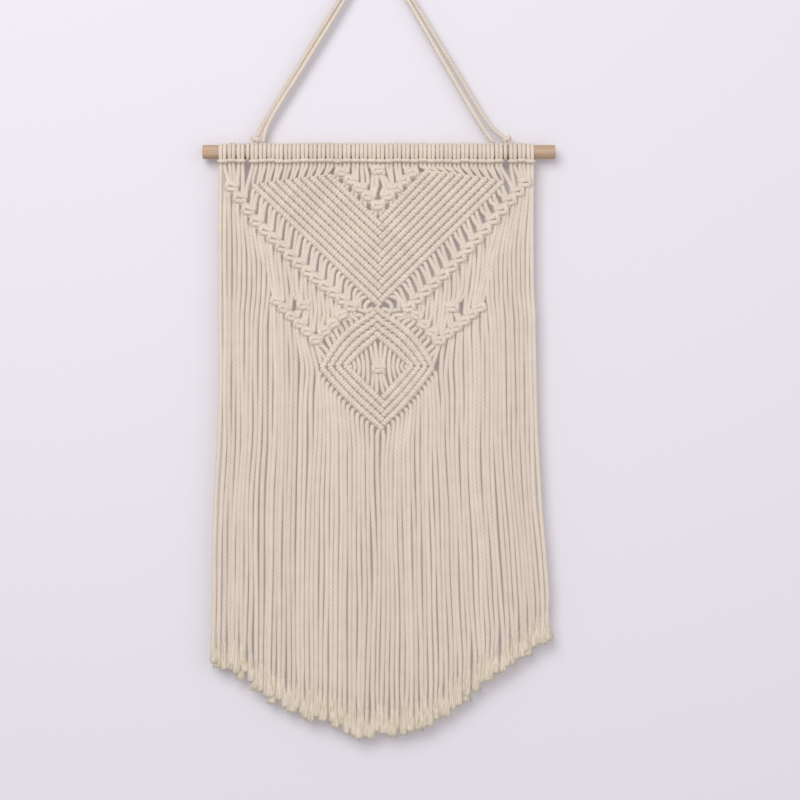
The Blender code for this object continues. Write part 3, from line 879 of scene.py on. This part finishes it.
def cross_opening(side, loose):
    """Lets one side's strands float over the opening. The innermost two lead to its knot."""
    for i, strand in enumerate(reversed(loose)):
        knotted = i < 2
        out = FLOAT_PITCH * (i + 0.5) - (0.0 if knotted else FLOAT_DRAWN_IN)
        drop = DIAMOND_KNOT[1] - (ABOVE_KNOT if knotted else BESIDE_KNOT)
        depth = PANEL_DEPTH + FLOAT_LAYER * (i % 2) - FLOAT_BACK
        strand.lead((DIAMOND_KNOT[0] + side * out, drop, depth), FLOAT_RADIUS)


inside = {side: halves[side][FIRST_DIAMOND_STRAND:-1] for side in (-1, 1)}
leaders = [{side: halves[side][-1] for side in (-1, 1)}]
for side in (-1, 1):
    arrive(side, inside[side])
for row in range(DIAMOND_ROWS):
    if row:
        leaders.append({side: inside[-side].pop() for side in (-1, 1)})
    cross_in_corner(row, "top", leaders[row], 1)
    workers = {side: inside[side][row:][::-1] for side in (-1, 1)}
    diamond_row(row, leaders[row], workers, upper=True)

floats = {side: inside[side][DIAMOND_ROWS - 1 :] for side in (-1, 1)}
for side in (-1, 1):
    cross_opening(side, floats[side])
square_knot(middle_four(floats), DIAMOND_KNOT)

for row in reversed(range(DIAMOND_ROWS)):
    workers = {side: inside[side][row:] for side in (-1, 1)}
    diamond_row(row, leaders[row], workers, upper=False)
    cross_in_corner(row, "bottom", leaders[row], -1)
    for side in (-1, 1):
        inside[side].append(leaders[row][-side])

point_side, point_drop = DIAMOND_OUTER["bottom"]
for side in (-1, 1):
    halves[side][FIRST_DIAMOND_STRAND:] = inside[side]
    *hooked, last = inside[side]
    for i, strand in enumerate(hooked):
        hook(strand, side, DIAMOND_HOOK * min(1.0, (len(hooked) - i) / NARROWED_HOOKS))
    last.lead((point_side + side * POINT_APART, point_drop + POINT_BELOW, PANEL_DEPTH))
knotted_piece(
    "diamond_cords",
    inside[-1] + inside[1],
    ["diamond", "diamond_web", "diamond_knot", "diamond_links_left", "diamond_links_right"],
    held_back=1,
)

# ---------------------------------------------------------------------------------------------
# The fringe. All 72 strands hang free from the last knots, a little apart and not quite straight.
# They are trimmed to a shallow point, and their ends are combed out into short brooms.

FRINGE_EDGES = (
    # drop, left side, right side
    (30, -157.5, 152.5),
    (230, -157.5, 158.0),
    (290, -158.0, 158.5),
    (340, -161.5, 161.5),
    (390, -163.0, 165.5),
    (450, -163.5, 169.5),
    (500, -164.5, 175.0),
    (600, -164.5, 180.0),
)
TIPS = (
    # side, drop
    (-166, 512), (-132, 526), (-108, 548), (-78, 562), (-45, 574), (-16, 586),
    (22, 583), (56, 574), (88, 548), (112, 528), (158, 501), (182, 482),
)
FRINGE_MIDDLE = 2.8
FRINGE_FLUFF = 0.17
BROOM = 26.0
SETTLE = 36.0
TIPS_LEVEL = 540.0
TIPS_STRAY = 4.0
TIP_SIDE_STRAY = 0.8
TIP_RADIUS = 2.0
FIRST_BELOW_KNOT = 9.0
LAST_ABOVE_TIP = 8.0
FRINGE_STEP = 24.0
FRINGE_STEP_VARIES = (0.8, 1.2)
LAYERS_APART = 0.9
# noise: its steps from strand to strand and for a mm of drop, the place in it, and its size
OWN_SWAY = (3.7, 0.011, 1.0, 1.5)
SHARED_SWAY = (0.21, 0.008, 5.0, 2.2)
OWN_BULGE = (5.3, 0.013, 9.0, 1.2)
# the strands beside the diamond's side corners are drawn in a little towards them
DRAWN_IN = 2.5
DRAWN_IN_HEIGHT = 30.0
DRAWN_IN_STRANDS = 6


def read_off(table, value, column):
    """A column of a table at a value of its first column."""
    for low, high in zip(table, table[1:]):
        if value <= high[0]:
            share = max(0.0, (value - low[0]) / (high[0] - low[0]))
            return low[column] + (high[column] - low[column]) * share
    return table[-1][column]


def fringe_side(share, drop):
    """How far to the side a strand hangs at that drop."""
    edge = read_off(FRINGE_EDGES, drop, 1 if share < 0.5 else 2)
    return FRINGE_MIDDLE + (edge - FRINGE_MIDDLE) * abs(2 * share - 1)


def wander(i, drop, wave):
    """A strand's slow wandering, as it has it at that drop."""
    apart, down, seed, size = wave
    return noise.noise(Vector((i * apart, drop * down, seed))) * size


def hang_free(i, strand):
    """Lets a strand hang from its last knot down to its broom, and gives where that begins."""
    share = i / (len(hanging) - 1)
    outer = min(i, len(hanging) - 1 - i)
    tip = read_off(TIPS, fringe_side(share, TIPS_LEVEL), 1) - BROOM + stray(TIPS_STRAY)
    begin = strand.end()
    drop = begin.y + FIRST_BELOW_KNOT
    layer = (i % 2 - 0.5) * LAYERS_APART
    while drop < tip - LAST_ABOVE_TIP:
        settled = min(1.0, (drop - begin.y) / SETTLE)
        settled = settled * settled * (3 - 2 * settled)
        sway = wander(i, drop, OWN_SWAY) + wander(i, drop, SHARED_SWAY)
        side = begin.x + (fringe_side(share, drop) - begin.x) * settled + sway * settled
        if outer < FIRST_DIAMOND_STRAND:
            level = max(0.0, 1 - abs(drop - DIAMOND_KNOT[1]) / DRAWN_IN_HEIGHT)
            near = max(0.0, 1 - (FIRST_DIAMOND_STRAND - 1 - outer) / DRAWN_IN_STRANDS)
            side -= math.copysign(DRAWN_IN * (level * near), side)
        depth = PANEL_DEPTH + (layer + wander(i, drop, OWN_BULGE)) * settled
        strand.lead((side, drop, depth), CORD_RADIUS + FRINGE_FLUFF * settled)
        drop += FRINGE_STEP * random.uniform(*FRINGE_STEP_VARIES)
    last = strand.end()
    strand.lead((last.x + stray(TIP_SIDE_STRAY), tip, last.z), TIP_RADIUS)
    return strand.end()


hanging = halves[-1] + halves[1][::-1]
ends = [hang_free(i, strand) for i, strand in enumerate(hanging)]
knotted_piece("fringe_cords", hanging, ["fringe"], held_back=0)

# ---------------------------------------------------------------------------------------------
# The brooms at the fringe's ends. They are what the cotton's plies come apart into when they are
# combed: each is a soft flared tuft that thins out into single hairs at its end and its sides.

HAIRS = 24
HAIR_RADIUS = 0.55
HAIR_OUT = (0.1, 1.0)
HAIR_LENGTHS = (0.8, 1.06)
HAIR_BEND = (0.6, 0.4)
HAIR_ROUTE = (
    # mm out and down, then its shares of the lean, the bend, the length and the radius
    (1.6, -1.0, 0.0, 0.0, 0.0, 1.0),
    (2.34, 0.0, 0.2, 0.0, 0.4, 1.1),
    (4.42, 0.0, 0.7, 1.0, 0.8, 1.0),
    (5.2, 0.0, 1.0, 2.0, 1.0, 0.5),
)
BROOM_FLATTER = 0.8
BROOM_LEAN = (4.0, 1.5)
BROOM_FULLNESS = (0.7, 1.2)
COMBED_OVER = 14.0
TUFT_ROUNDNESS = 3
TUFT_FLARE = (
    # drop, radius
    (-3.0, 2.3),
    (3.0, 2.45),
    (10.0, 3.1),
    (17.0, 4.1),
    (22.3, 4.8),
    (24.4, 4.1),
    (25.8, 1.8),
)


def combed_cotton():
    """Combed-out cotton: the rope's own fibre, a little yellower, with fine lines along it."""
    material, tree = new_material("combed cotton")
    uv = add_node(tree, "ShaderNodeUVMap", uv_map="UVMap")
    run = add_node(tree, "ShaderNodeSeparateXYZ", {"Vector": uv.outputs[0]})
    where = add_node(tree, "ShaderNodeTexCoord").outputs["Object"]
    along = add_node(tree, "ShaderNodeMapping", {"Vector": where, "Scale": (1100, 700, 45)})
    streaks = add_node(
        tree, "ShaderNodeTexNoise", {"Vector": along.outputs[0], "Scale": 1.0, "Detail": 3.0}
    ).outputs["Fac"]
    rope_like = ramp(tree, streaks, (0.34, "#D3C2B1"), (0.6, COTTON))
    yellower = ramp(tree, streaks, (0.34, "#CDBCA2"), (0.6, "#ECE0CF"))
    combed = add_node(
        tree, "ShaderNodeMapRange", {"Value": run.outputs["X"], "From Max": COMBED_OVER}
    )
    colour = add_node(
        tree,
        "ShaderNodeMix",
        {"Factor": combed.outputs[0], "A": rope_like, "B": yellower},
        data_type="RGBA",
    ).outputs["Result"]
    lines = add_node(
        tree, "ShaderNodeBump", {"Height": streaks, "Strength": 0.6, "Distance": 0.0005}
    )
    shader = add_node(
        tree,
        "ShaderNodeBsdfPrincipled",
        {"Base Color": colour, "Normal": lines.outputs[0], "Roughness": 0.95, "Sheen Weight": 0.3},
    )
    add_node(tree, "ShaderNodeOutputMaterial", {"Surface": shader.outputs[0]})
    return material


def add_tube(bm, path, roundness=0):
    """Adds a hair or a tuft to the brooms."""
    mesh, _ = tube(sampled(path, 0, len(path) - 1), roundness=roundness)
    bm.from_mesh(mesh)
    bpy.data.meshes.remove(mesh)


def add_broom(bm, spot):
    """Adds the tuft and the hairs of the strand that ends at that spot."""
    lean = Vector((stray(BROOM_LEAN[0]), 0, stray(BROOM_LEAN[1])))
    fullness = random.uniform(*BROOM_FULLNESS)
    tuft = []
    for drop, radius in TUFT_FLARE:
        on_axis = spot + lean * (drop / BROOM) ** 2 + Vector((0, drop, 0))
        tuft.append((on_axis, CORD_RADIUS + (radius - CORD_RADIUS) * fullness))
    add_tube(bm, tuft, TUFT_ROUNDNESS)
    for _ in range(HAIRS):
        turn = random.uniform(0, math.tau)
        out = random.uniform(*HAIR_OUT) ** 0.5
        way = Vector((math.cos(turn), 0, math.sin(turn) * BROOM_FLATTER)) * out
        length = BROOM * random.uniform(*HAIR_LENGTHS)
        bend = Vector((stray(HAIR_BEND[0]), 0, stray(HAIR_BEND[1])))
        hair = []
        for spread, down, leaning, bent, run, thick in HAIR_ROUTE:
            beside = spot + way * spread + lean * leaning + bend * bent
            hair.append((beside + Vector((0, down + length * run, 0)), HAIR_RADIUS * thick))
        add_tube(bm, hair)


bm = bmesh.new()
for spot in ends:
    add_broom(bm, spot)
bmesh.ops.remove_doubles(bm, verts=bm.verts, dist=JOINED_WITHIN)
brooms = piece_from("fringe_brooms", bm, combed_cotton())
brooms.data.shade_smooth()
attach(brooms, "root")

# ---------------------------------------------------------------------------------------------
# The hanger. One cord of the same rope, doubled, from one end of the heading up to the hook above
# the picture and down again. Each outer strand ends in a small knot over a turn round the rod,
# and each inner one goes in among the lark's heads.

OUTER_ROUTE = (
    (-120.4, -15.8, 0.0), (-116.0, -25.4, 0.0), (-77.6, -88.9, -0.3), (-39.0, -151.4, -0.9),
    (-19.6, -183.8, -1.8), (-3.5, -208.3, -2.05), (14.4, -183.8, -1.8), (36.0, -151.4, -0.9),
    (75.7, -86.4, -0.3), (115.5, -23.4, 0.0), (125.6, -15.4, 0.0),
)
INNER_ROUTE = (
    (-114.7, -11.2, 2.0), (-111.0, -25.4, 0.6), (-72.5, -88.9, 0.3), (-34.1, -151.4, 0.9),
    (-16.8, -182.2, 1.8), (-3.5, -208.3, 2.05), (11.6, -182.2, 1.8), (31.0, -151.4, 0.9),
    (68.5, -86.4, 0.3), (106.0, -23.4, 0.6), (115.3, -11.1, 2.0),
)


def hanger_strand(name, route, node):
    """One strand of the hanger, along the same route as its solid."""
    strand = Strand()
    for spot in route:
        strand.lead(spot)
    made = knotted_piece(name, [strand], [node], held_back=0)


hanger_strand("hanger_outer", OUTER_ROUTE, "hanger_strand_outer")
hanger_strand("hanger_inner", INNER_ROUTE, "hanger_strand_inner")

HANGER_KNOTS = {
    # the knot's side and drop, and the side of the turn round the rod
    "left": (-123.0, -13.0, -129.9),
    "right": (130.0, -13.4, 128.2),
}
TURN_STEPS = 12
TURN_RADIUS = 1.7
TURN_LIFT = 1.6
TURN_LEAN = 0.5
TIE_STEPS = 18
TIE_STEPS_A_TURN = 8
TIE_HALF = 3.4
TIE_SLOPE = 0.35
TIE_HEIGHT = 1.5
TIE_DEPTH = 1.8
TIE_RADIUS = 1.8


def hanger_tie(name, side, drop, turn_side):
    """The turn round the rod in the gap of the heading, and the small knot on top of it."""
    out = -1 if side < 0 else 1
    reach = DOWEL_RADIUS + TURN_LIFT
    turn = Strand()
    for step in range(TURN_STEPS + 1):
        angle = math.pi * (0.5 + 2 * step / TURN_STEPS)
        across = turn_side + out * TURN_LEAN * math.cos(angle)
        turn.lead((across, -math.sin(angle) * reach, math.cos(angle) * reach), TURN_RADIUS)
    knotted_piece(f"hanger_turn_{name}", [turn], [f"hanger_wrap_{name}"], held_back=0)
    knot = Strand()
    for step in range(TIE_STEPS + 1):
        angle = math.tau * step / TIE_STEPS_A_TURN
        along = -TIE_HALF + 2 * TIE_HALF * step / TIE_STEPS
        height = drop - along * TIE_SLOPE + math.sin(angle) * TIE_HEIGHT
        knot.lead((side + out * along, height, math.cos(angle) * TIE_DEPTH), TIE_RADIUS)
    knotted_piece(f"hanger_tie_{name}", [knot], [f"hanger_knot_{name}"], held_back=0)


for name, (side, drop, turn_side) in HANGER_KNOTS.items():
    hanger_tie(name, side, drop, turn_side)

# ---------------------------------------------------------------------------------------------
# The stage: a pale wall right behind the hanging, a pale floor far below, soft light from above
# and in front, and a camera square to the wall.

WALL_BEHIND = 11.5
STAGE_SIZE = 4.0
FLOOR_BELOW = 1.6
WALL_COLOUR = "#EFEBF1"
FLOOR_COLOUR = "#E6E3E8"
PAINT_ROUGHNESS = 0.9
LIT_POINT = (0, 0, -0.45)
SKY_COLOUR = "#F2F1F5"
SKY_STRENGTH = 0.57
LOOK_AT = (22.5, 248.6, PANEL_DEPTH)
FRAME_WIDTH = 0.8
LENS = 85.0
SENSOR = 36.0


def plain_wall(name, colour):
    """Matt paint that is seen from its front only."""
    material, tree = new_material(name)
    back = add_node(tree, "ShaderNodeNewGeometry").outputs["Backfacing"]
    clear = add_node(tree, "ShaderNodeBsdfTransparent")
    paint = add_node(
        tree,
        "ShaderNodeBsdfPrincipled",
        {"Base Color": linear(colour), "Roughness": PAINT_ROUGHNESS},
    )
    both = add_node(
        tree, "ShaderNodeMixShader", {0: back, 1: paint.outputs[0], 2: clear.outputs[0]}
    )
    add_node(tree, "ShaderNodeOutputMaterial", {"Surface": both.outputs[0]})
    return material


def sheet_of_stage(name, middle, turn, material):
    """A flat square of the stage that lights nothing and casts no shadow."""
    bm = bmesh.new()
    bmesh.ops.create_grid(bm, x_segments=1, y_segments=1, size=STAGE_SIZE)
    bm.transform(Matrix.Translation(middle) @ Matrix.Rotation(turn, 4, "X"))
    made = piece_from(name, bm, material)
    for ray in ("diffuse", "glossy", "transmission", "shadow"):
        setattr(made, f"visible_{ray}", False)


wall_y = WALL_BEHIND * MM
wall_paint = plain_wall("wall paint", WALL_COLOUR)
floor_paint = plain_wall("floor paint", FLOOR_COLOUR)
sheet_of_stage("wall", (0, wall_y, STAGE_SIZE - FLOOR_BELOW), math.pi / 2, wall_paint)
sheet_of_stage("floor", (0, wall_y - STAGE_SIZE, -FLOOR_BELOW), 0, floor_paint)


def soft_light(name, where, size, power):
    """A square studio light turned to the panel."""
    light = bpy.data.lights.new(name, "AREA")
    light.shape = "SQUARE"
    light.size = size
    light.energy = power
    made = bpy.data.objects.new(name, light)
    made.location = where
    made.rotation_euler = (Vector(LIT_POINT) - Vector(where)).to_track_quat("-Z", "Y").to_euler()
    bpy.context.scene.collection.objects.link(made)


soft_light("key", where=(-0.75, -2.2, 0.8), size=1.6, power=33)
soft_light("fill", where=(1.5, -2.0, -0.2), size=2.0, power=8)

world = bpy.data.worlds.new("studio")
bpy.context.scene.world = world
world.use_nodes = True
background = world.node_tree.nodes["Background"]
background.inputs["Color"].default_value = linear(SKY_COLOUR)
background.inputs["Strength"].default_value = SKY_STRENGTH

camera = bpy.data.cameras.new("camera")
camera.lens = LENS
camera.sensor_width = SENSOR
camera_object = bpy.data.objects.new("camera", camera)
camera_object.location = place(LOOK_AT) + Vector((0, -FRAME_WIDTH * LENS / SENSOR, 0))
camera_object.rotation_euler = (math.pi / 2, 0, 0)
bpy.context.scene.collection.objects.link(camera_object)
bpy.context.scene.camera = camera_object
bpy.context.scene.view_settings.view_transform = "Standard"
